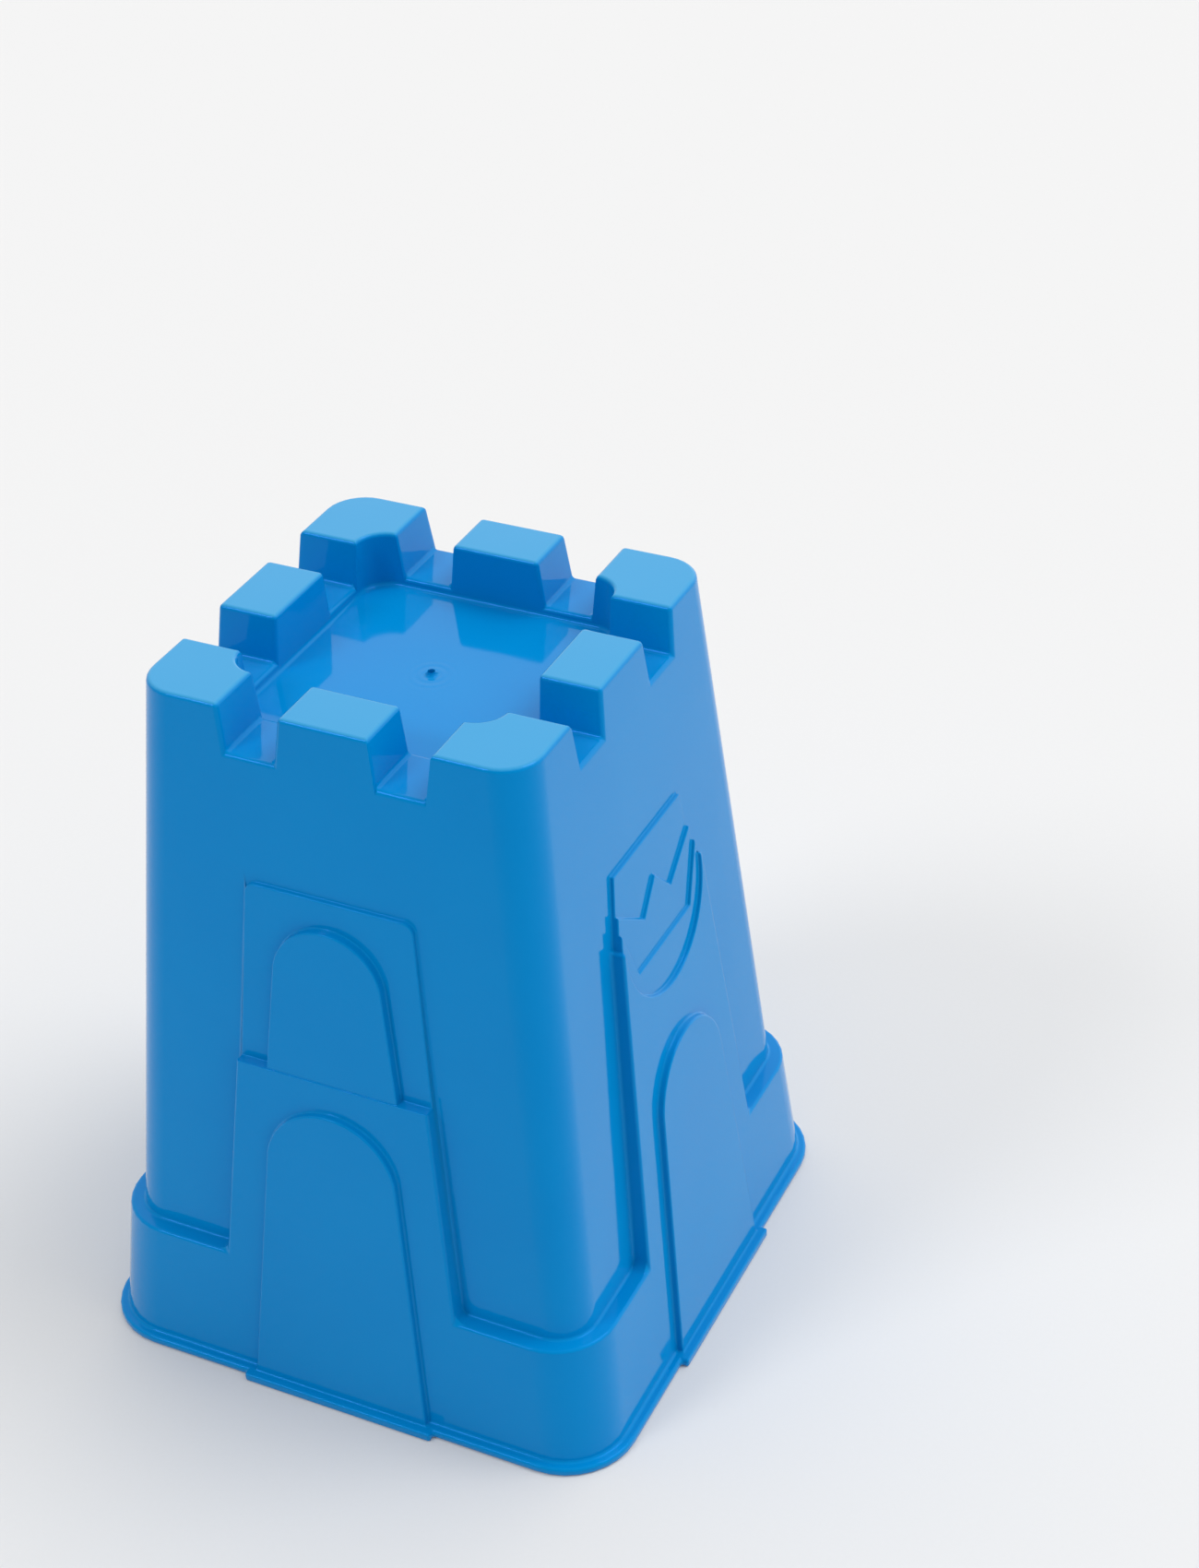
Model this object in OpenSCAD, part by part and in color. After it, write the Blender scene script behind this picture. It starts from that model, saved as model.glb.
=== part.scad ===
// Sand bucket shaped as a square castle tower, standing mouth down on its rim.
// One thin moulding, drawn as its zones: rim, plinth, walls, relief panels, battlements and deck.
// +Z up, origin under the middle of the tower on the plane of the rim, window side towards -Y.

/* [Overall] */
// Height from the rim's resting plane to the tops of the battlements
height = 190; // [160:1:228]
// Width across the flat walls at the battlement tops
top_w = 101; // [92:1:112]
// Width across the flat walls where they land on the plinth ledge
foot_w = 127.8; // [120:0.2:130]
// Radius of the tower's upright corners
corner_r = 10; // [7:0.5:12]
// Thickness of the moulding
wall = 1.8; // [1.4:0.1:2.2]

/* [Plinth and rim] */
// Height of the plinth ledge above the resting plane
plinth_h = 36; // [30:0.5:44]
// Width of the plinth at its ledge
plinth_top_w = 136.6; // [134:0.2:160]
// Width of the plinth at the resting plane
plinth_foot_w = 143.6; // [140:0.2:170]
// Radius of the plinth's upright corners
plinth_r = 16; // [12:0.5:19]
// Thickness of the rim flange
rim_t = 2.4; // [1.8:0.1:3.2]
// How far the rim flange stands out from the wall
flange_w = 2.4; // [1.6:0.1:4]

/* [Gatehouses and doors] */
// Top of the gatehouse panel on the two window sides
gate_top_low = 96; // [90:0.5:110]
// Top of the gatehouse panel on the two shield sides
gate_top_high = 125; // [113:0.5:130]
// Width of a gatehouse panel at the plinth ledge
gate_foot_w = 64.6; // [60:0.2:70]
// How much narrower a gatehouse gets on each side per millimetre of height
gate_lean = 0.103; // [0.08:0.001:0.12]
// How much a gatehouse front leans in per millimetre of height over the plinth ledge
gate_draft = 0.097; // [0.085:0.001:0.105]
// Width of a door at the rim
door_foot_w = 49; // [42:0.5:54]
// Radius of the arch over a door
door_arch_r = 17.9; // [15:0.1:19]
// Top of the door arch above the resting plane
door_top = 88; // [74:0.5:90]
// How far a door stands out from its gatehouse
door_proud = 1.8; // [1:0.1:2.6]

/* [Windows] */
// How far the foot of a window panel lies in from the gatehouse's top corners
panel_foot_in = 0; // [0:0.1:2]
// Width of a window panel at its top
panel_top_w = 44.8; // [38:0.2:46]
// Top of a window panel above the resting plane
panel_top = 145.5; // [140:0.5:152]
// Radius of a window panel's top corners
panel_corner_r = 3; // [1:0.5:5]
// How far a window panel stands out from the wall
panel_proud = 1.2; // [0.8:0.1:1.5]
// Width of an arched window at its foot
window_foot_w = 35.6; // [30:0.2:40]
// Radius of the arch over a window
window_arch_r = 14.6; // [12:0.1:16]
// Top of the window arch above the resting plane
window_top = 138.3; // [134:0.1:139]
// How far an arched window stands out from the wall
window_proud = 3.4; // [2.6:0.1:3.5]

/* [Shields] */
// Top edge of a shield above the resting plane
shield_top = 143.7; // [140:0.1:150]
// Width of a shield along its top edge
shield_top_w = 37.8; // [34:0.2:40]
// Radius of a shield's round lower end
shield_r = 22; // [20.5:0.1:22.6]
// Rise of a shield's top edge over the middle of that round end
shield_rise = 19.7; // [18:0.1:22]
// How far the field above the crown stands out from the wall
field_proud = 1; // [0.8:0.1:1.1]
// How far each next layer of a shield steps out
layer_step = 0.8; // [0.6:0.1:0.9]
// How far the ends of a crown's foot lie inside the shield's widest part
crown_foot_in = 7; // [5:0.1:9]
// Height of the crown's middle point over its foot
crown_h = 18.6; // [16:0.1:20]
// Height of the crown's foot above the resting plane
crown_foot_z = 114; // [112:0.2:116]
// How far the crown's outer points lie past the shield's widest part, where they run off it
crown_tip_past = 2.2; // [1:0.1:3]
// Height of those outer points over the crown's foot
crown_tip_h = 22.1; // [20:0.1:24]
// Height of the notches between the crown's points over its foot
notch_h = 10.8; // [9:0.1:12]
// Distance between the two notches
notch_w = 15.4; // [13:0.2:18]

/* [Bushes] */
// How far a bush stands out from the plinth
bush_proud = 0.9; // [0.6:0.1:1.4]
// Radius of the larger humps of a bush, next to the door
bush_r = 8.6; // [7:0.1:9]
// Radius of the smaller humps, away from the door
bush_small_r = 6.9; // [5:0.1:7.5]
// Distance between the middles of the two humps
bush_step = 12.9; // [10:0.1:13.5]
// Top of a bush above the resting plane
bush_top = 12.4; // [11:0.1:15]

/* [Battlements] */
// Height of the merlons over the crenel floors
merlon_h = 12.2; // [10:0.1:15]
// Drop from the crenel floors to the deck, and thickness of those floors
deck_drop = 2.4; // [2:0.1:3.2]
// Width across the deck between facing merlons
deck_w = 69.4; // [66:0.2:72]
// Width of a middle merlon at its top
merlon_w = 23.2; // [20:0.2:26]
// Width of a crenel at the merlon tops
crenel_w = 15.8; // [13:0.1:17]
// How far each crenel side leans in over the merlon height
crenel_lean = 1.5; // [0.8:0.1:2]
// Radius of the feed mark in the middle of the deck
feed_mark_r = 0.9; // [0.5:0.1:2]

/* [Hidden] */
sides = ["front", "right", "back", "left"];
quarter = 90;
arc_steps = 8;
round_fn = 96;
reach = 30;
past = 1;
flat_back = 0.5;
seam = top_w / 2 - corner_r - flat_back;
tower_slope = (foot_w - top_w) / 2 / (height - plinth_h);
plinth_slope = (plinth_foot_w - plinth_top_w) / 2 / plinth_h;
walk_z = height - merlon_h;
seat_z = walk_z - deck_drop;
shelf_z = plinth_h - wall;
deck_half = deck_w / 2;
merlon_top_half = merlon_w / 2;
merlon_foot_half = merlon_top_half + crenel_lean;
corner_top_at = merlon_top_half + crenel_w;
corner_foot_at = corner_top_at - crenel_lean;
deck_r = deck_half - corner_top_at;
shield_mid = shield_top - shield_rise;
crown_foot_half = shield_r - crown_foot_in;
crown_tip_half = shield_r + crown_tip_past;
notch_half = notch_w / 2;
feed_mark_h = 0.4;
bush_gap = 0.6;
tower_color = [0.0, 0.45, 0.74];
relief_color = [0.1, 0.53, 0.8];
crest_color = [0.3, 0.65, 0.88];

// ---- Sizes that follow the draft -------------------------------------------

// Half width of the tower wall's outside at height z
function tower_half(z) = top_w / 2 + tower_slope * (height - z);

// Half width of the plinth's outside at height z
function plinth_half(z) = plinth_top_w / 2 + plinth_slope * (plinth_h - z);

// Half width across the gatehouse fronts at height z: the plinth's up to its ledge, their own above it
function gate_front(z) = z < plinth_h ? plinth_half(z) : plinth_top_w / 2 - gate_draft * (z - plinth_h);

// Half width of a gatehouse panel at height z
function gate_half(z) = gate_foot_w / 2 - gate_lean * (z - plinth_h);

// Angle at which a straight side from a foot point (dx out, dz below the centre) meets an arch
function meet_angle(dx, dz, r) = atan2(-dz, dx) + acos(r / sqrt(dx * dx + dz * dz));

// One ring of points around a square with rounded corners, at height z
function ring(half, r, z) = [
    for (k = [0:3])
        for (i = [0:arc_steps])
            let (
                a = k * quarter + i * quarter / arc_steps,
                cx = (half - r) * (k == 0 || k == 3 ? 1 : -1),
                cy = (half - r) * (k < 2 ? 1 : -1)
            )
            [cx + r * cos(a), cy + r * sin(a), z]
];

// ---- Building blocks -------------------------------------------------------

// Square tower with rounded corners, from half width half0 at z0 to half1 at z1
module rounded_tower(z0, half0, z1, half1, r) {
    n = 4 * (arc_steps + 1);
    polyhedron(
        points = concat(ring(half0, r, z0), ring(half1, r, z1)),
        faces = concat(
            [[for (i = [0:n - 1]) i]],
            [[for (i = [0:n - 1]) 2 * n - 1 - i]],
            [for (i = [0:n - 1]) [i, n + i, n + (i + 1) % n, (i + 1) % n]]
        )
    );
}

// Outside of the tower between two heights, or its inside when inset by the wall
module tower_form(z0, z1, inset = 0) {
    rounded_tower(z0, tower_half(z0) - inset, z1, tower_half(z1) - inset, corner_r - inset);
}

// Outside of the plinth between two heights, or its inside when inset by the wall
module plinth_form(z0, z1, inset = 0) {
    rounded_tower(z0, plinth_half(z0) - inset, z1, plinth_half(z1) - inset, plinth_r - inset);
}

// Flat square with rounded corners, with the same corner points as the tower and plinth
module rounded_square(half, r) {
    polygon([for (p = ring(half, r, 0)) [p[0], p[1]]]);
}

// Turns a piece drawn on the front (-Y) side round to side k: front, right, back, left
module on_side(k) {
    rotate([0, 0, k * quarter])
        children();
}

// A flat outline (x across, y up the wall) pushed right through the front wall
module through_front() {
    translate([0, -reach, 0])
        rotate([90, 0, 0])
            linear_extrude(height = plinth_foot_w)
                children();
}

// A profile of [distance out, z] points carried across the front wall between x0 and x1
module across_front(profile, x0 = -plinth_foot_w, x1 = plinth_foot_w) {
    translate([x0, 0, 0])
        rotate([90, 0, 90])
            linear_extrude(height = x1 - x0)
                polygon([for (p = profile) [-p[0], p[1]]]);
}

// Slab that follows the tower wall, from proud_out to proud_in, between two heights
module wall_slab(proud_out, proud_in, z0, z1) {
    across_front([
        [tower_half(z0) + proud_out, z0],
        [tower_half(z1) + proud_out, z1],
        [tower_half(z1) + proud_in, z1],
        [tower_half(z0) + proud_in, z0]
    ]);
}

// Slab that follows the plinth and the gatehouse front over it, between two heights
module gate_slab(proud_out, proud_in, z0, z1) {
    levels = z0 < plinth_h && z1 > plinth_h ? [z0, plinth_h, z1] : [z0, z1];
    top = len(levels) - 1;
    across_front(concat(
        [for (z = levels) [gate_front(z) + proud_out, z]],
        [for (i = [0:top]) [gate_front(levels[top - i]) + proud_in, levels[top - i]]]
    ));
}

// ---- Outlines on a wall, x across and y up ---------------------------------

// Gatehouse panel up to its top
module gate_outline(top_z) {
    polygon([
        [-gate_half(-past), -past],
        [gate_half(-past), -past],
        [gate_half(top_z), top_z],
        [-gate_half(top_z), top_z]
    ]);
}

// Hollow behind a gatehouse: between its returns above the plinth's shelf, full width below it
module gate_hollow_outline(top_z) {
    polygon([
        [-gate_foot_w, -past],
        [gate_foot_w, -past],
        [gate_foot_w, shelf_z],
        [gate_half(shelf_z) - wall, shelf_z],
        [gate_half(top_z) - wall, top_z - wall],
        [-gate_half(top_z) + wall, top_z - wall],
        [-gate_half(shelf_z) + wall, shelf_z],
        [-gate_foot_w, shelf_z]
    ]);
}

// Straight-sided arch standing at foot_z, drawn in by inset and carried down below its foot
module arch_outline(foot_half, foot_z, r, top_z, inset = 0, below = 0) {
    mid_z = top_z - r;
    a = meet_angle(foot_half, mid_z - foot_z, r);
    side_x = (r - inset) * cos(a);
    side_z = mid_z + (r - inset) * sin(a);
    translate([0, mid_z])
        circle(r = r - inset, $fn = round_fn);
    polygon([
        [-foot_half + inset, foot_z - below],
        [foot_half - inset, foot_z - below],
        [foot_half - inset, foot_z],
        [side_x, side_z],
        [-side_x, side_z],
        [-foot_half + inset, foot_z]
    ]);
}

// Arched door from the rim up
module door_outline(inset = 0, below = 0) {
    arch_outline(door_foot_w / 2, rim_t, door_arch_r, door_top, inset, below);
}

// Arched window from the gatehouse top up
module window_outline(inset = 0, below = 0) {
    arch_outline(window_foot_w / 2, gate_top_low, window_arch_r, window_top, inset, below);
}

// Window panel with rounded top corners
module panel_outline(inset = 0, below = 0) {
    foot_half = gate_half(gate_top_low) - panel_foot_in - inset;
    top_half = panel_top_w / 2 - inset;
    top_z = panel_top - inset;
    r = panel_corner_r;
    polygon([
        [-foot_half, gate_top_low - below],
        [foot_half, gate_top_low - below],
        [foot_half, gate_top_low],
        [top_half, top_z - r],
        [top_half - r, top_z],
        [-top_half + r, top_z],
        [-top_half, top_z - r],
        [-foot_half, gate_top_low]
    ]);
    for (x = [-1, 1])
        translate([x * (top_half - r), top_z - r])
            circle(r = r, $fn = round_fn);
}

// Shield: straight top, sides spreading to a round lower end
module shield_outline(inset = 0) {
    top_half = shield_top_w / 2;
    away = sqrt(top_half * top_half + shield_rise * shield_rise);
    a = atan2(shield_rise, top_half) - acos(shield_r / away);
    r = shield_r - inset;
    intersection() {
        union() {
            translate([0, shield_mid])
                circle(r = r, $fn = round_fn);
            polygon([
                [-r * cos(a), shield_mid + r * sin(a)],
                [0, shield_mid - r / 2],
                [r * cos(a), shield_mid + r * sin(a)],
                [top_half - inset, shield_top - inset],
                [-top_half + inset, shield_top - inset]
            ]);
        }
        translate([-2 * shield_r, 0])
            square([4 * shield_r, shield_top - inset]);
    }
}

// Crown with three points, its foot narrower than its tips
module crown_outline() {
    intersection() {
        shield_outline();
        polygon([
            [-crown_foot_half, crown_foot_z],
            [crown_foot_half, crown_foot_z],
            [crown_tip_half, crown_foot_z + crown_tip_h],
            [notch_half, crown_foot_z + notch_h],
            [0, crown_foot_z + crown_h],
            [-notch_half, crown_foot_z + notch_h],
            [-crown_tip_half, crown_foot_z + crown_tip_h]
        ]);
    }
}

// The part of the wall over the crown's zigzag edge
module over_crown_outline() {
    polygon([
        [-crown_tip_half, crown_foot_z + crown_tip_h],
        [-notch_half, crown_foot_z + notch_h],
        [0, crown_foot_z + crown_h],
        [notch_half, crown_foot_z + notch_h],
        [crown_tip_half, crown_foot_z + crown_tip_h],
        [crown_tip_half, shield_top + past],
        [-crown_tip_half, shield_top + past]
    ]);
}

// The crown and all of the wall over it
module crown_and_over_outline() {
    polygon([
        [-crown_foot_half, crown_foot_z],
        [crown_foot_half, crown_foot_z],
        [crown_tip_half, crown_foot_z + crown_tip_h],
        [crown_tip_half, shield_top + past],
        [-crown_tip_half, shield_top + past],
        [-crown_tip_half, crown_foot_z + crown_tip_h]
    ]);
}

// ---- Rim and plinth --------------------------------------------------------

// Flat flange round the mouth, stepping out round each door
module rim() {
    out_half = plinth_half(rim_t) + flange_w;
    in_half = plinth_half(rim_t) - wall;
    color(tower_color)
        linear_extrude(height = rim_t)
            difference() {
                union() {
                    rounded_square(out_half, plinth_r + flange_w);
                    for (k = [0, 1])
                        rotate(k * quarter)
                            square([door_foot_w + 2 * flange_w, 2 * (out_half + door_proud)], center = true);
                }
                rounded_square(in_half, plinth_r - wall);
                for (k = [0, 1])
                    rotate(k * quarter)
                        square([door_foot_w - 2 * wall, 2 * (in_half + door_proud)], center = true);
            }
}

// Corner of the plinth with its ledge, from one gatehouse round to the next
module plinth_corner(k) {
    color(tower_color)
        on_side(k)
            difference() {
                intersection() {
                    plinth_form(rim_t, plinth_h);
                    translate([0, -plinth_foot_w, 0])
                        cube([plinth_foot_w, plinth_foot_w, plinth_h]);
                }
                plinth_form(-past, shelf_z, wall);
                tower_form(shelf_z - past, plinth_h + past, wall);
                for (j = [0, 1])
                    on_side(j)
                        through_front()
                            gate_outline(plinth_h + reach);
            }
}

// ---- Tower walls -----------------------------------------------------------

// Flat wall between two corners, open where panels stand out of it
module wall_side(k) {
    color(tower_color)
        on_side(k)
            difference() {
                across_front([
                    [tower_half(plinth_h), plinth_h],
                    [tower_half(seat_z), seat_z],
                    [tower_half(seat_z) - wall, seat_z],
                    [tower_half(plinth_h) - wall, plinth_h]
                ], -seam, seam);
                through_front() {
                    if (k % 2 == 0) {
                        gate_outline(gate_top_low);
                        panel_outline(below = past);
                    } else {
                        gate_outline(gate_top_high);
                        shield_outline();
                    }
                }
            }
}

// Rounded corner of the tower
module tower_corner(k) {
    color(tower_color)
        on_side(k)
            intersection() {
                difference() {
                    tower_form(plinth_h, seat_z);
                    tower_form(plinth_h - past, seat_z + past, wall);
                }
                translate([seam, -seam - plinth_foot_w, 0])
                    cube([plinth_foot_w, plinth_foot_w, height]);
            }
}

// ---- Gatehouses and doors --------------------------------------------------

// Gatehouse panel: a front plate in line with the plinth, with returns to the tower wall
module gatehouse(k) {
    top_z = k % 2 == 0 ? gate_top_low : gate_top_high;
    color(relief_color)
        on_side(k)
            difference() {
                intersection() {
                    through_front()
                        gate_outline(top_z);
                    across_front([
                        [gate_front(rim_t), rim_t],
                        [gate_front(plinth_h), plinth_h],
                        [gate_front(top_z), top_z],
                        [tower_half(top_z) - wall, top_z],
                        [tower_half(rim_t) - wall, rim_t]
                    ]);
                }
                intersection() {
                    through_front()
                        gate_hollow_outline(top_z);
                    gate_slab(-wall, -reach, -past, top_z);
                }
                through_front()
                    door_outline(below = reach);
                if (k % 2 == 0) {
                    intersection() {
                        through_front()
                            panel_outline(wall, 2 * wall);
                        wall_slab(panel_proud - wall, -reach, shelf_z, panel_top);
                    }
                    intersection() {
                        through_front()
                            window_outline(wall, 2 * wall);
                        gate_slab(-wall, -reach, shelf_z, panel_top);
                    }
                } else {
                    through_front()
                        shield_outline();
                }
            }
}

// Arched door: a plate standing out of the gatehouse, open behind down to the mouth
module door(k) {
    color(relief_color)
        on_side(k)
            difference() {
                intersection() {
                    through_front()
                        door_outline();
                    gate_slab(door_proud, -wall, rim_t, door_top + past);
                }
                intersection() {
                    through_front()
                        door_outline(wall, past);
                    gate_slab(door_proud - wall, -reach, -past, door_top);
                }
            }
}

// ---- Windows ---------------------------------------------------------------

// Thin panel behind an arched window
module window_panel(k) {
    color(relief_color)
        on_side(k)
            difference() {
                intersection() {
                    through_front()
                        panel_outline();
                    wall_slab(panel_proud, -wall, gate_top_low, panel_top + past);
                }
                intersection() {
                    through_front()
                        panel_outline(wall, past);
                    wall_slab(panel_proud - wall, -reach, gate_top_low - past, panel_top);
                }
                through_front()
                    window_outline(below = past);
            }
}

// Arched window standing out of its panel
module arched_window(k) {
    color(relief_color)
        on_side(k)
            difference() {
                intersection() {
                    through_front()
                        window_outline();
                    wall_slab(window_proud, panel_proud - wall, gate_top_low, window_top + past);
                }
                intersection() {
                    through_front()
                        window_outline(wall, past);
                    wall_slab(window_proud - wall, -reach, gate_top_low - past, window_top);
                }
            }
}

// ---- Shields ---------------------------------------------------------------

// One layer of a shield: a plate of the given outline, with returns along the shield's own edge
module shield_layer(k, proud) {
    on_side(k)
        difference() {
            intersection() {
                through_front()
                    children();
                wall_slab(proud, -wall, shield_mid - shield_r - past, shield_top + past);
            }
            intersection() {
                through_front()
                    union() {
                        shield_outline(wall);
                        translate([-plinth_foot_w / 2, 0])
                            square([plinth_foot_w, gate_top_high]);
                    }
                wall_slab(proud - wall, -reach, 0, shield_top + past);
            }
        }
}

// Field of the shield over the crown
module shield_field(k) {
    color(relief_color)
        shield_layer(k, field_proud)
            intersection() {
                shield_outline();
                over_crown_outline();
            }
}

// Crown, one layer out from the field over it
module crown(k) {
    color(crest_color)
        shield_layer(k, field_proud + layer_step)
            crown_outline();
}

// Rest of the shield, one layer out from the crown
module shield_base(k) {
    color(relief_color)
        shield_layer(k, field_proud + 2 * layer_step)
            difference() {
                shield_outline();
                crown_and_over_outline();
            }
}

// ---- Bushes ----------------------------------------------------------------

// Low bush beside the door on the left side; way is -1 or 1 for the side of the door
module bush(way) {
    near = door_foot_w / 2 + bush_gap + bush_r;
    color(crest_color)
        on_side(3)
            intersection() {
                through_front()
                    difference() {
                        union() {
                            translate([way * near, bush_top - bush_r])
                                circle(r = bush_r, $fn = round_fn);
                            translate([way * (near + bush_step), bush_top - bush_small_r])
                                circle(r = bush_small_r, $fn = round_fn);
                        }
                        door_outline(-bush_gap, reach);
                    }
                gate_slab(bush_proud, 0, rim_t, plinth_h);
            }
}

// ---- Battlements -----------------------------------------------------------

// Half width across a middle merlon: upright below the crenel floor, leaning in above it
module merlon_outline(inset = 0, top_z = height, foot_z = seat_z) {
    polygon([
        [-merlon_foot_half + inset, foot_z],
        [merlon_foot_half - inset, foot_z],
        [merlon_foot_half - inset, walk_z],
        [merlon_top_half - inset, top_z],
        [-merlon_top_half + inset, top_z],
        [-merlon_foot_half + inset, walk_z]
    ]);
}

// Middle merlon, hollow and open below
module middle_merlon(k) {
    color(crest_color)
        on_side(k)
            difference() {
                intersection() {
                    through_front()
                        merlon_outline();
                    across_front([
                        [tower_half(seat_z), seat_z],
                        [tower_half(height), height],
                        [deck_half, height],
                        [deck_half, seat_z]
                    ]);
                }
                intersection() {
                    through_front()
                        merlon_outline(wall, height - wall, seat_z - past);
                    across_front([
                        [tower_half(seat_z - past) - wall, seat_z - past],
                        [tower_half(height) - wall, height],
                        [deck_half + wall, height],
                        [deck_half + wall, seat_z - past]
                    ]);
                }
            }
}

// Everything beyond a crenel's outer side, seen on the front wall
module beyond_crenel(inset, top_z, foot_z) {
    translate([0, plinth_foot_w / 2, 0])
        through_front()
            polygon([
                [corner_foot_at + inset, foot_z],
                [plinth_foot_w, foot_z],
                [plinth_foot_w, top_z],
                [corner_top_at + inset, top_z],
                [corner_foot_at + inset, walk_z]
            ]);
}

// Corner block of the battlements, solid, with its inner corner scooped to the deck's round corner
module corner_block(inset, top_z, foot_z) {
    difference() {
        intersection() {
            tower_form(foot_z, top_z, inset);
            beyond_crenel(inset, top_z, foot_z);
            on_side(1)
                mirror([1, 0, 0])
                    beyond_crenel(inset, top_z, foot_z);
        }
        translate([0, 0, foot_z - past])
            linear_extrude(height = height)
                rounded_square(deck_half + inset, deck_r + inset);
    }
}

// Corner merlon, hollow and open below
module corner_merlon(k) {
    color(crest_color)
        on_side(k)
            difference() {
                corner_block(0, height, seat_z);
                corner_block(wall, height - wall, seat_z - past);
            }
}

// Floor of a crenel between a middle merlon and a corner merlon
module crenel(k, way) {
    color(tower_color)
        on_side(k)
            across_front([
                [tower_half(seat_z), seat_z],
                [tower_half(walk_z), walk_z],
                [deck_half, walk_z],
                [deck_half, seat_z]
            ],
            way > 0 ? merlon_foot_half : -corner_foot_at,
            way > 0 ? corner_foot_at : -merlon_foot_half);
}

// Sunk deck between the merlons
module deck() {
    color(tower_color)
        translate([0, 0, seat_z - wall])
            linear_extrude(height = wall)
                rounded_square(deck_half + wall, deck_r + wall);
}

// Low round mark where the plastic was fed in
module feed_mark() {
    color(tower_color)
        translate([0, 0, seat_z])
            cylinder(r = feed_mark_r, h = feed_mark_h, $fn = round_fn);
}

// ---- Nodes -----------------------------------------------------------------

rim();
deck();
feed_mark();
bush(-1);  // bush_left_a
bush(1);  // bush_left_b
for (k = [0:3]) {
    side = sides[k];
    turn = str(side, "_", sides[(k + 1) % 4]);
    plinth_corner(k);
    wall_side(k);
    tower_corner(k);
    gatehouse(k);
    door(k);
    middle_merlon(k);
    corner_merlon(k);
    crenel(k, -1);
    crenel(k, 1);
}
for (k = [0, 2]) {
    side = sides[k];
    window_panel(k);
    arched_window(k);
}
for (k = [1, 3]) {
    side = sides[k];
    shield_field(k);
    crown(k);
    shield_base(k);
}
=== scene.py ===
"""Sand bucket shaped as a square castle tower, standing mouth down on a pale studio floor.

The bucket is one glossy polypropylene moulding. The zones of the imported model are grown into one
continuous wall, its edges are rounded as a mould rounds them, and the wall is then parted on its
flats into battlements, four sides and four corners, where no seam shows. The two bushes lie on it.
"""

import math

import bmesh
import bpy
from mathutils import Matrix, Vector
from mathutils.bvhtree import BVHTree


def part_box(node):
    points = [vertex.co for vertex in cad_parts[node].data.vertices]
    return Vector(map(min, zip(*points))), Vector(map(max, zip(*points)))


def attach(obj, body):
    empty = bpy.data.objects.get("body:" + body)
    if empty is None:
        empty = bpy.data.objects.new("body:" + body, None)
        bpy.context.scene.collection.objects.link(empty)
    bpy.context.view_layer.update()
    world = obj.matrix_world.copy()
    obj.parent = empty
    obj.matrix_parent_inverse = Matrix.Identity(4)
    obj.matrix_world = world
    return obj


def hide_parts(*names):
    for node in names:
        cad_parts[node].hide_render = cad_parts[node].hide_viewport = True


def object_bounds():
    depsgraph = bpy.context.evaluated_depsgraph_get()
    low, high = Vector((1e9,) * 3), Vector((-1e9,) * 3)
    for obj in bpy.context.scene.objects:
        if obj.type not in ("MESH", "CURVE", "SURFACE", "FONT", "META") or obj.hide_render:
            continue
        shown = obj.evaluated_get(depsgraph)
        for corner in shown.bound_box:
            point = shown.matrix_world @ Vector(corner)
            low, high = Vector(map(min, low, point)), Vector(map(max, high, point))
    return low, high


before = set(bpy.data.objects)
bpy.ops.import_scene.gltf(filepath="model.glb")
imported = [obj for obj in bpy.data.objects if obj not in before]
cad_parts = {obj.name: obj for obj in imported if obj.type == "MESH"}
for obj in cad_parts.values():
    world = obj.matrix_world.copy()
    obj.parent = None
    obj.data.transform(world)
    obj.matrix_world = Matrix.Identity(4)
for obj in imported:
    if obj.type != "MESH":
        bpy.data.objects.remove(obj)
cad_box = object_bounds()
scene = bpy.context.scene
MM = 0.001
ROOT = "root"
TOP_Z = cad_box[1][2]


# ---- The plastic ---------------------------------------------------------------------
# Polypropylene coloured through and shot into a polished steel mould. It is opaque, saturated
# and glossy, and mirrors what stands next to it in its flat walls.


def plastic_colour(code):
    """An sRGB hex value as the linear colour that the shader takes."""
    parts = [int(code[i : i + 2], 16) / 255 for i in (1, 3, 5)]
    return [c / 12.92 if c <= 0.04045 else ((c + 0.055) / 1.055) ** 2.4 for c in parts] + [1.0]


def add_node(tree, kind, settings=None, **links):
    """A node of this kind. A link is the socket that feeds an input, or the value it is set to.

    Inputs go by name, with _ for each space, or by place, as i0 for the first.
    """
    node = tree.nodes.new(kind)
    for name, value in (settings or {}).items():
        setattr(node, name, value)
    for name, value in links.items():
        by_place = name[0] == "i" and name[1:].isdigit()
        socket = node.inputs[int(name[1:]) if by_place else name.replace("_", " ")]
        if isinstance(value, bpy.types.NodeSocket):
            tree.links.new(value, socket)
        else:
            socket.default_value = value
    return node


def noise(tree, place, size, detail, roughness=0.5):
    """Noise with patches of about this size."""
    inputs = {"Scale": 1 / size, "Detail": detail, "Roughness": roughness}
    return add_node(tree, "ShaderNodeTexNoise", Vector=place, **inputs).outputs["Fac"]


def spread(tree, value, start, end, low=0.0, high=1.0):
    """The value, carried from the range start to end over to the range low to high."""
    inputs = {"From_Min": start, "From_Max": end, "To_Min": low, "To_Max": high}
    return add_node(tree, "ShaderNodeMapRange", Value=value, **inputs).outputs["Result"]


def mixed(tree, share, first, second):
    """A colour between two, by its share of the second."""
    colour = {"data_type": "RGBA"}
    return add_node(tree, "ShaderNodeMix", colour, i0=share, i6=first, i7=second).outputs[2]


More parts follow.
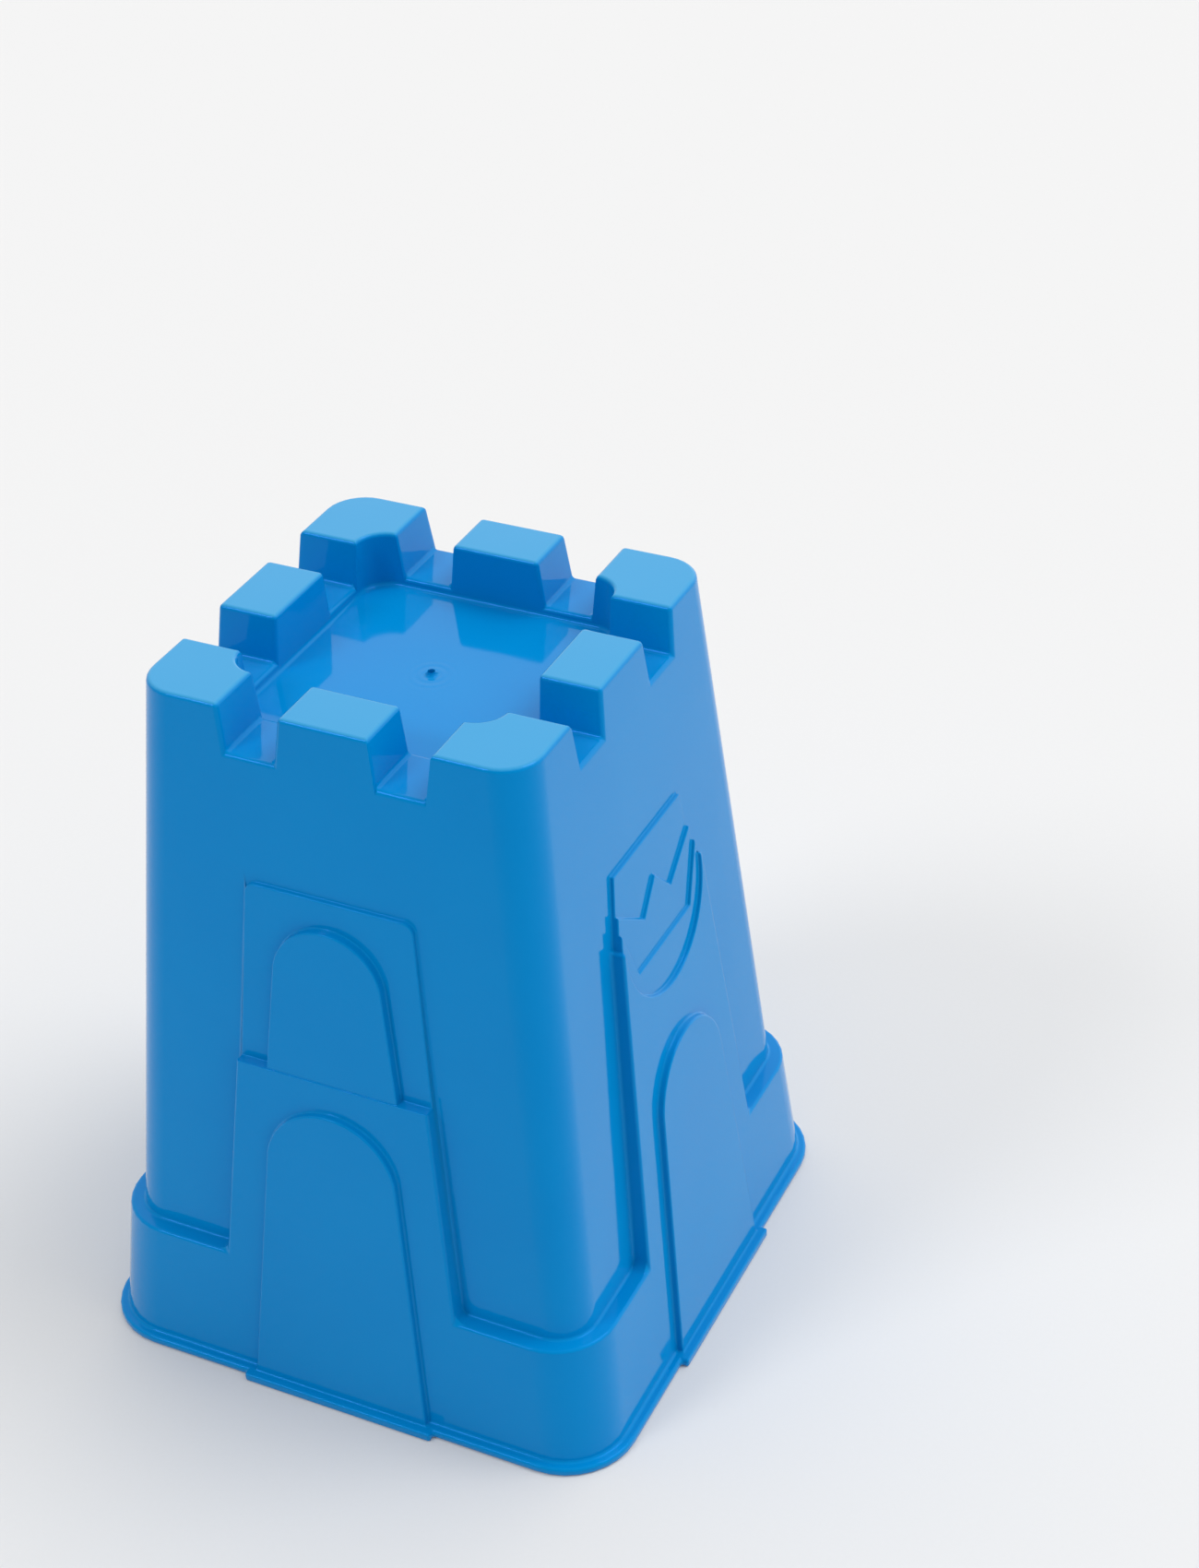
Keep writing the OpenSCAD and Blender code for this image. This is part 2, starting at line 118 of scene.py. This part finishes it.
def bump(tree, height, distance, strength, normal=None):
    """A bump this many metres high, laid over another bump when one is given."""
    inputs = {"Height": height, "Distance": distance, "Strength": strength}
    if normal is not None:
        inputs["Normal"] = normal
    return add_node(tree, "ShaderNodeBump", **inputs).outputs["Normal"]


def feed_ripples(tree, place):
    """Rings round the feed point in the middle of the deck, dying out a few millimetres from it."""
    times = {"operation": "MULTIPLY"}
    level = add_node(tree, "ShaderNodeVectorMath", times, i0=place, i1=(1.0, 1.0, 0.0)).outputs["Vector"]
    off_axis = add_node(tree, "ShaderNodeVectorMath", {"operation": "LENGTH"}, i0=level).outputs["Value"]
    phase = add_node(tree, "ShaderNodeMath", times, i0=off_axis, i1=math.tau / RIPPLE).outputs["Value"]
    rings = add_node(tree, "ShaderNodeMath", {"operation": "SINE"}, i0=phase).outputs["Value"]
    fade = spread(tree, off_axis, RIPPLES_FROM, RIPPLES_TO, low=1.0, high=0.0)
    return add_node(tree, "ShaderNodeMath", times, i0=rings, i1=fade).outputs["Value"]


STREAK = 40 * MM
PATCH = 12 * MM
SHRINK_WAVE = 30 * MM
MOULD_GRAIN = 0.8 * MM
RIPPLE = 2.2 * MM
RIPPLES_FROM = 2 * MM
RIPPLES_TO = 8 * MM
# painted highlight: the heights over which the battlement tops fade to a paler blue
TOP_HIGHLIGHT_FROM = TOP_Z - 0.5 * MM
TOP_HIGHLIGHT_TO = TOP_Z - 0.1 * MM


def moulded_polypropylene():
    """Glossy blue polypropylene. What it mirrors head on is tinted blue, and at a low angle white."""
    material = bpy.data.materials.new("moulded_polypropylene_gloss_blue")
    material.use_nodes = True
    tree = material.node_tree
    shader = tree.nodes["Principled BSDF"]
    shader.inputs["IOR"].default_value = 1.5
    shader.inputs["Specular Tint"].default_value = plastic_colour("#4A80FF")
    place = add_node(tree, "ShaderNodeTexCoord").outputs["Object"]
    # pigment streaks left by the flow of the melt
    streaks = noise(tree, place, STREAK, detail=3.0, roughness=0.55)
    pigment = mixed(tree, streaks, plastic_colour("#0082C6"), plastic_colour("#008ACC"))
    # painted highlight: the flat tops of the battlements are painted paler, standing in for the brighter
    # light they mirror
    height = add_node(tree, "ShaderNodeSeparateXYZ", Vector=place).outputs["Z"]
    top_highlight_mask = spread(tree, height, TOP_HIGHLIGHT_FROM, TOP_HIGHLIGHT_TO)
    painted_top_highlight = mixed(tree, top_highlight_mask, pigment, plastic_colour("#3B9ACB"))
    tree.links.new(painted_top_highlight, shader.inputs["Base Color"])
    # polish that is dulled a little in patches
    patches = noise(tree, place, PATCH, detail=4.0, roughness=0.6)
    polish = spread(tree, patches, 0.3, 0.7, low=0.05, high=0.09)
    tree.links.new(polish, shader.inputs["Roughness"])
    # shrinkage waves, the ripples of the feed point, and the fine grain of the mould
    waves = noise(tree, place, SHRINK_WAVE, detail=1.0)
    grain = noise(tree, place, MOULD_GRAIN, detail=2.0)
    sunk = bump(tree, waves, distance=0.35 * MM, strength=0.5)
    fed = bump(tree, feed_ripples(tree, place), distance=0.04 * MM, strength=0.6, normal=sunk)
    rough = bump(tree, grain, distance=0.01 * MM, strength=0.35, normal=fed)
    tree.links.new(rough, shader.inputs["Normal"])
    return material


PLASTIC = moulded_polypropylene()

# ---- The wall of the bucket ----------------------------------------------------------
# One skin of plastic, 1.8 mm thick but for the rim, that runs unbroken up the plinth, the tower and
# its relief panels to the battlements, and across the sunk deck. Zones with arcs are grown a little
# more than the rest, because their arcs are cut into chords in different places.

JOIN = 0.01 * MM
JOIN_ARC = 0.03 * MM
WELD = 0.25 * MM
SLIVER = 0.025 * MM
SAME_POINT = JOIN / 100
SAME_PLANE = 0.999
FLAT = math.radians(0.5)
NEARLY_FLAT = math.radians(1.5)
LEAST_COSINE = 0.3
ARCS = ("door", "arched_window", "shield", "crown")
BUSHES = ["bush_left_a", "bush_left_b"]


def merged(node):
    """A copy of a node's mesh with its points merged and its flat faces whole."""
    bm = bmesh.new()
    bm.from_mesh(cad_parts[node].data)
    bmesh.ops.remove_doubles(bm, verts=bm.verts, dist=SAME_POINT)
    bmesh.ops.dissolve_limit(bm, angle_limit=FLAT, verts=bm.verts, edges=bm.edges)
    bm.normal_update()
    return bm


def zone_copy(node):
    """A copy of a zone, each of its planes moved out a hair so that it bites its neighbours."""
    grow = JOIN_ARC if node.startswith(ARCS) else JOIN
    bm = merged(node)
    moves = {}
    for vert in bm.verts:
        planes = []
        for face in vert.link_faces:
            if all(face.normal.dot(other) < SAME_PLANE for other in planes):
                planes.append(face.normal.copy())
        way = sum(planes, Vector()).normalized()
        moves[vert] = way * grow / max(LEAST_COSINE, min(way.dot(plane) for plane in planes))
    for vert, move in moves.items():
        vert.co += move
    mesh = bpy.data.meshes.new(node)
    bm.to_mesh(mesh)
    bm.free()
    return bpy.data.objects.new("zone_" + node, mesh)


def baked(obj):
    """The object's mesh with its modifiers applied."""
    bpy.context.view_layer.update()
    shown = obj.evaluated_get(bpy.context.evaluated_depsgraph_get())
    return bpy.data.meshes.new_from_object(shown)


zones = [zone_copy(node) for node in sorted(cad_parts) if node not in BUSHES]
others = bpy.data.collections.new("zones")
scene.collection.objects.link(zones[0])
scene.collection.children.link(others)
for zone in zones[1:]:
    others.objects.link(zone)
union = zones[0].modifiers.new("one skin", "BOOLEAN")
union.operation = "UNION"
union.operand_type = "COLLECTION"
union.collection = others
union.solver = "EXACT"

skin = bmesh.new()
skin.from_mesh(baked(zones[0]))
for zone in zones:
    bpy.data.objects.remove(zone)
bpy.data.collections.remove(others)
bmesh.ops.remove_doubles(skin, verts=skin.verts, dist=WELD)
bmesh.ops.dissolve_degenerate(skin, edges=skin.edges, dist=SLIVER)
bmesh.ops.dissolve_limit(skin, angle_limit=NEARLY_FLAT, verts=skin.verts, edges=skin.edges)
loose = [edge for edge in skin.edges if not edge.link_faces]
bmesh.ops.delete(skin, geom=loose, context="EDGES")
skin.normal_update()

# ---- Rounded edges -------------------------------------------------------------------
# Every sharp turn of the wall is rounded: the battlements and the plinth to about 1 mm, relief
# panels less, and the corner where a gatehouse rises from the plinth ledge has a larger fillet.

LEDGE_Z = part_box("plinth_front_right")[1].z
DECK_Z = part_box("deck")[1].z
CREST_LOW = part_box("shield_base_right")[0].z
CREST_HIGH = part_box("shield_field_right")[1].z
WINDOW_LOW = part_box("window_panel_front")[0].z
WINDOW_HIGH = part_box("window_panel_front")[1].z
DOOR_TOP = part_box("door_front")[1].z
CREST_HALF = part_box("shield_base_right")[1].y
WINDOW_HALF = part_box("window_panel_front")[1].x
DOOR_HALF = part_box("door_front")[1].x
PLINTH_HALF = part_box("plinth_front_right")[1].x
ROUND_BATTLEMENT = 1.1 * MM
ROUND_PLINTH = 0.8 * MM
ROUND_DOOR = 0.5 * MM
ROUND_RELIEF = 0.38 * MM
ROUND_HAIRLINE = 0.14 * MM
ROUND_INSIDE = 0.4 * MM
FILLET_LEDGE = 2.6 * MM
ROUND_STEPS = 3
SHARP = math.radians(28)
NEAR = 0.3 * MM
CLEAR = 0.45 * MM
LEDGE_END = 6 * MM
UNDER_WINDOW = WINDOW_HALF * 0.7


def seen_from_above(surface, edge):
    """True for an edge on the outside: every outside face can be reached straight from above."""
    out = sum((face.normal for face in edge.link_faces), Vector()).normalized()
    middle = (edge.verts[0].co + edge.verts[1].co) / 2
    return surface.ray_cast(middle + out * CLEAR, Vector((0, 0, 1)))[0] is None


def gatehouse_foot(edge, low, high, across):
    """True for a short inner edge where the side of a gatehouse rises from the ledge."""
    level = abs(low - LEDGE_Z) < NEAR and high - low < NEAR
    short = edge.calc_length() < LEDGE_END and across < PLINTH_HALF / 2
    return level and short and edge.calc_face_angle_signed(0) < 0


def rounding(surface, edge):
    """How far an edge is rounded: by where it lies and which relief it belongs to."""
    if not seen_from_above(surface, edge):
        return ROUND_INSIDE
    low, high = sorted(vert.co.z for vert in edge.verts)
    middle = (edge.verts[0].co + edge.verts[1].co) / 2
    across = min(abs(middle.x), abs(middle.y))
    window_side = abs(middle.y) > abs(middle.x)
    if low > DECK_Z - NEAR:
        return ROUND_BATTLEMENT
    at_window = WINDOW_LOW - NEAR < low and high < WINDOW_HIGH + NEAR and across < WINDOW_HALF + NEAR
    if window_side and at_window:
        on_gate_top = high < WINDOW_LOW + NEAR
        return ROUND_HAIRLINE if on_gate_top and across < UNDER_WINDOW else ROUND_RELIEF
    at_crest = CREST_LOW - NEAR < low and high < CREST_HIGH + NEAR and across < CREST_HALF + NEAR
    if not window_side and at_crest:
        return ROUND_RELIEF
    if high < DOOR_TOP + NEAR and across < DOOR_HALF + NEAR:
        return ROUND_DOOR
    if gatehouse_foot(edge, low, high, across):
        return FILLET_LEDGE
    return ROUND_PLINTH


surface = BVHTree.FromBMesh(skin)
weight = skin.edges.layers.float.new("bevel_weight_edge")
for edge in skin.edges:
    if len(edge.link_faces) == 2 and edge.calc_face_angle(0) > SHARP:
        edge[weight] = rounding(surface, edge) / FILLET_LEDGE
mesh = bpy.data.meshes.new("skin")
skin.to_mesh(mesh)
skin.free()
whole = bpy.data.objects.new("skin", mesh)
scene.collection.objects.link(whole)
soften = whole.modifiers.new("rounded", "BEVEL")
soften.limit_method = "WEIGHT"
soften.offset_type = "OFFSET"
soften.width = FILLET_LEDGE
soften.segments = ROUND_STEPS
soften.profile = 0.5
soften.use_clamp_overlap = False
soften.miter_outer = "MITER_SHARP"
rounded = baked(whole)
bpy.data.objects.remove(whole)

# ---- Battlements, sides and corners --------------------------------------------------
# The wall is parted on its flats: under the deck, and a little inside the rounded corners. Each
# part is closed where it is cut, and meets its neighbour in one plane.

BELOW_DECK = 1.5 * MM
UNDER_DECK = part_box("deck")[0].z - BELOW_DECK
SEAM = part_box("corner_front_right")[0].x
SIDES = ["front", "right", "back", "left"]
SIDE_ZONES = ("wall", "gate", "door", "window", "arched", "shield", "crown")
ON_PLANE = 1e-7
CREASE = math.radians(38)
WIDE_FACES_LEAD = 100


def cut(bm, point, normal):
    """Keeps what lies behind the plane, and closes the wall along it."""
    everything = bm.verts[:] + bm.edges[:] + bm.faces[:]
    plane = {"plane_co": point, "plane_no": normal, "dist": ON_PLANE}
    made = bmesh.ops.bisect_plane(bm, geom=everything, clear_outer=True, **plane)
    rim = [item for item in made["geom_cut"] if isinstance(item, bmesh.types.BMEdge)]
    bmesh.ops.triangle_fill(bm, edges=rim, use_beauty=True, use_dissolve=False, normal=normal)


def finish(bm, name, nodes):
    """Makes the mesh a smooth-shaded piece of the plastic that stands for these zones."""
    bm.normal_update()
    for face in bm.faces:
        face.smooth = True
    for edge in bm.edges:
        edge.smooth = len(edge.link_faces) == 2 and edge.calc_face_angle(0) < CREASE
    made = bpy.data.meshes.new(name)
    bm.to_mesh(made)
    bm.free()
    made.materials.clear()
    made.materials.append(PLASTIC)
    piece = bpy.data.objects.new(name, made)
    scene.collection.objects.link(piece)
    flats = piece.modifiers.new("flat faces stay flat", "WEIGHTED_NORMAL")
    flats.keep_sharp = True
    flats.weight = WIDE_FACES_LEAD
    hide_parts(*nodes)
    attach(piece, ROOT)


def part(name, planes, nodes):
    """One part of the bucket, cut from the rounded wall by its planes."""
    bm = bmesh.new()
    bm.from_mesh(rounded)
    for point, normal in planes:
        cut(bm, Vector(point), Vector(normal))
    bmesh.ops.remove_doubles(bm, verts=bm.verts, dist=ON_PLANE)
    finish(bm, name, nodes)


deck_plane = (0, 0, UNDER_DECK)
top_nodes = [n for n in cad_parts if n.startswith(("merlon", "crenel"))] + ["deck", "feed_mark"]
part("battlements", [(deck_plane, (0, 0, -1))], top_nodes)
for turn, side in enumerate(SIDES):
    spin = Matrix.Rotation(math.radians(90 * turn), 3, "Z")
    across = spin @ Vector((1, 0, 0))
    inward = spin @ Vector((0, 1, 0))
    seam_before = (spin @ Vector((-SEAM, 0, 0)), -across)
    seam_after = (spin @ Vector((SEAM, 0, 0)), across)
    under_deck = (deck_plane, (0, 0, 1))
    nodes = [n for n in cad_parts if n.endswith("_" + side) and n.startswith(SIDE_ZONES)]
    planes = [under_deck, seam_after, seam_before, ((0, 0, 0), inward)]
    part("side_" + side, planes, nodes + ["rim"])
    corner = side + "_" + SIDES[(turn + 1) % len(SIDES)]
    planes = [under_deck, (seam_after[0], -across), (spin @ Vector((0, -SEAM, 0)), inward)]
    part("corner_block_" + corner, planes, ["plinth_" + corner, "corner_" + corner, "rim"])
bpy.data.meshes.remove(rounded)

# ---- Bushes --------------------------------------------------------------------------
# Two low bushes stand beside the door on the left side. Each lies flat on the plinth, and only the
# outline of its front is rounded over, so its foot is a sharp line.


def bush(node):
    """A bush: a low flat plate of the wall, rounded over along its outline."""
    bm = merged(node)
    front = min(bm.faces, key=lambda face: face.normal.x)
    bmesh.ops.bevel(
        bm,
        geom=list(front.edges),
        offset=ROUND_RELIEF,
        offset_type="OFFSET",
        affect="EDGES",
        segments=ROUND_STEPS,
        profile=0.5,
        clamp_overlap=True,
        material=-1,
    )
    finish(bm, "relief_" + node, [node])


for node in BUSHES:
    bush(node)

# ---- Floor, light and camera ---------------------------------------------------------
# A pale seamless floor in a bright studio. The room is lighter behind the bucket and to its right,
# so the right side mirrors more light than the front. One wide light comes from above on the right,
# and a second, from the front left, puts a soft shine on the upper edges.

FLOOR_HALF = 8
PAPER_FIBRE = 1.2 * MM

floor_sheet = bmesh.new()
bmesh.ops.create_grid(floor_sheet, x_segments=1, y_segments=1, size=FLOOR_HALF)
floor_mesh = bpy.data.meshes.new("floor")
floor_sheet.to_mesh(floor_mesh)
floor_sheet.free()
floor = bpy.data.objects.new("floor", floor_mesh)
scene.collection.objects.link(floor)
paper = bpy.data.materials.new("matt_background_paper")
paper.use_nodes = True
pulp = paper.node_tree
on_paper = add_node(pulp, "ShaderNodeTexCoord").outputs["Object"]
fibres = noise(pulp, on_paper, PAPER_FIBRE, detail=2.0)
tint = mixed(pulp, fibres, plastic_colour("#DADADA"), plastic_colour("#DCDCDC"))
sheet = pulp.nodes["Principled BSDF"]
pulp.links.new(tint, sheet.inputs["Base Color"])
sheet.inputs["Roughness"].default_value = 0.9
floor_mesh.materials.append(paper)

BRIGHT_SIDE = Vector((0.35, 0.85, 0.35)).normalized()
DIM_ROOM = 0.42
BRIGHT_ROOM = 1.33

room = bpy.data.worlds.new("studio")
scene.world = room
room.use_nodes = True
sky = room.node_tree
way = add_node(sky, "ShaderNodeTexCoord").outputs["Generated"]
toward = {"operation": "DOT_PRODUCT"}
facing = add_node(sky, "ShaderNodeVectorMath", toward, i0=way, i1=BRIGHT_SIDE).outputs["Value"]
light = spread(sky, facing, -0.5, 0.9, low=DIM_ROOM, high=BRIGHT_ROOM)
sky.links.new(light, sky.nodes["Background"].inputs["Strength"])
sky.nodes["Background"].inputs["Color"].default_value = plastic_colour("#FFFFFF")


def soft_light(name, energy, width, side):
    """A wide light from far away on this side, its width in degrees."""
    lamp = bpy.data.lights.new(name, "SUN")
    lamp.energy = energy
    lamp.angle = math.radians(width)
    stand = bpy.data.objects.new(name, lamp)
    stand.rotation_euler = Vector(side).to_track_quat("Z", "Y").to_euler()
    scene.collection.objects.link(stand)


soft_light("key", energy=0.8, width=28, side=(0.55, 0.3, 1.0))
soft_light("glint", energy=0.7, width=18, side=(-0.40, -0.59, 0.67))

CAMERA_AT = Vector((288.6, -496.3, 527.9)) * MM
CAMERA_TURN = [math.radians(56.03), math.radians(1.79), math.radians(25.08)]
CAMERA_LENS = 64.77
camera = bpy.data.cameras.new("camera")
camera.lens = CAMERA_LENS
camera_stand = bpy.data.objects.new("camera", camera)
camera_stand.location = CAMERA_AT
camera_stand.rotation_euler = CAMERA_TURN
scene.collection.objects.link(camera_stand)
scene.camera = camera_stand
scene.view_settings.view_transform = "Standard"
